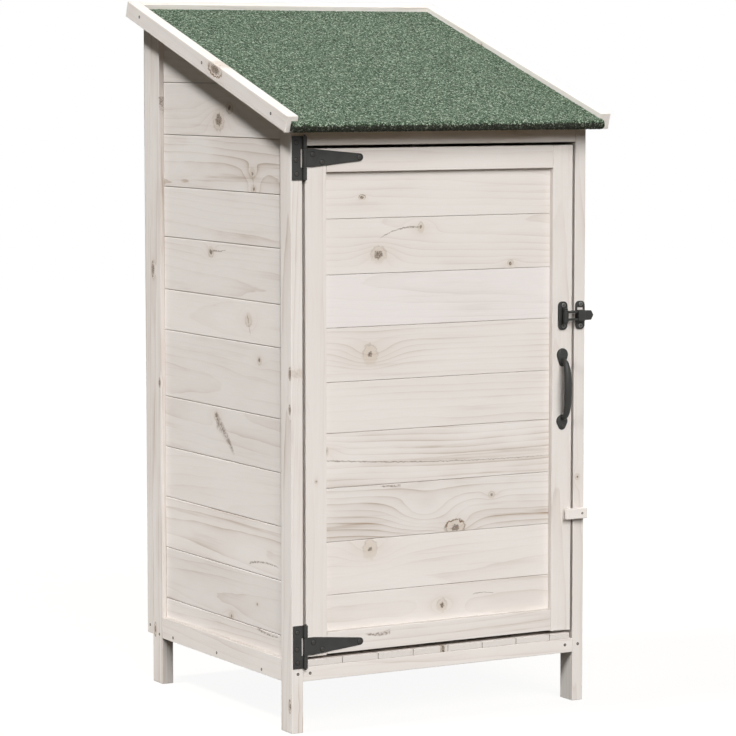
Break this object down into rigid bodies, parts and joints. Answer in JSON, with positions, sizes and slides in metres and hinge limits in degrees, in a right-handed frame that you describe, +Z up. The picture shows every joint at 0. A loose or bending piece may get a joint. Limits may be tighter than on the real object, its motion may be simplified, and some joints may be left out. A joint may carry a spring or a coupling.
{
  "type": "wooden garden shed",
  "caption": "Small lean-to garden tool shed on legs: whitewashed boarded walls, green felted sloping roof, floor, and a framed door with tee hinges, pull handle, flip latch and turn button.",
  "frame": {"origin": "on the ground, under the centre of the shed's bounding box", "axes": "+X to the right as the door is faced, +Y from the door to the back, +Z up"},
  "size_m": [0.595, 0.5786, 1.1506],
  "materials": {
    "whitewashed_fir": "whitewashed, matt",
    "plain_fir": "planed, unpainted",
    "green_felt": "mineral granules, matt",
    "black_iron": "matt black powder coat"
  },
  "bodies": {
    "frame": {"front_left_post": "whitewashed_fir", "front_right_post": "whitewashed_fir", "back_left_post": "whitewashed_fir", "back_right_post": "whitewashed_fir", "left_bottom_rail": "whitewashed_fir", "right_bottom_rail": "whitewashed_fir", "left_wall_boards": "whitewashed_fir", "right_wall_boards": "whitewashed_fir", "left_rafter": "plain_fir", "right_rafter": "plain_fir", "back_left_stile": "whitewashed_fir", "back_right_stile": "whitewashed_fir", "back_bottom_rail": "whitewashed_fir", "back_top_rail": "whitewashed_fir", "back_wall_boards": "whitewashed_fir", "front_header": "whitewashed_fir", "front_bottom_rail": "whitewashed_fir", "back_floor_bearer": "plain_fir", "floor_boards": "whitewashed_fir", "roof_deck": "plain_fir", "roof_felt": "green_felt", "left_barge_board": "whitewashed_fir", "right_barge_board": "whitewashed_fir", "back_roof_trim": "whitewashed_fir", "top_hinge_plate": "black_iron", "bottom_hinge_plate": "black_iron", "latch_keeper": "black_iron", "turn_button_screw": "black_iron"},
    "door": {"door_left_stile": "whitewashed_fir", "door_right_stile": "whitewashed_fir", "door_top_rail": "whitewashed_fir", "door_bottom_rail": "whitewashed_fir", "door_boards": "whitewashed_fir", "top_hinge_strap": "black_iron", "bottom_hinge_strap": "black_iron", "door_handle": "black_iron", "latch_base": "black_iron"},
    "lever": {"latch_lever": "black_iron"},
    "button": {"turn_button": "whitewashed_fir"}
  },
  "joints": [
    {"name": "door_swing", "type": "hinge", "parent": "frame", "child": "door", "pos_m": [-0.25, -0.24894, 0.137], "axis": [0, 0, -1], "range_deg": [0, 180]},
    {"name": "latch_flip", "type": "hinge", "parent": "door", "child": "lever", "pos_m": [0.2289, -0.25434, 0.6382], "axis": [0, 0, -1], "range_deg": [0, 180]},
    {"name": "button_turn", "type": "hinge", "parent": "frame", "child": "button", "pos_m": [0.2625, -0.24534, 0.313], "axis": [0, 1, 0], "range_deg": [0, 90]}
  ]
}
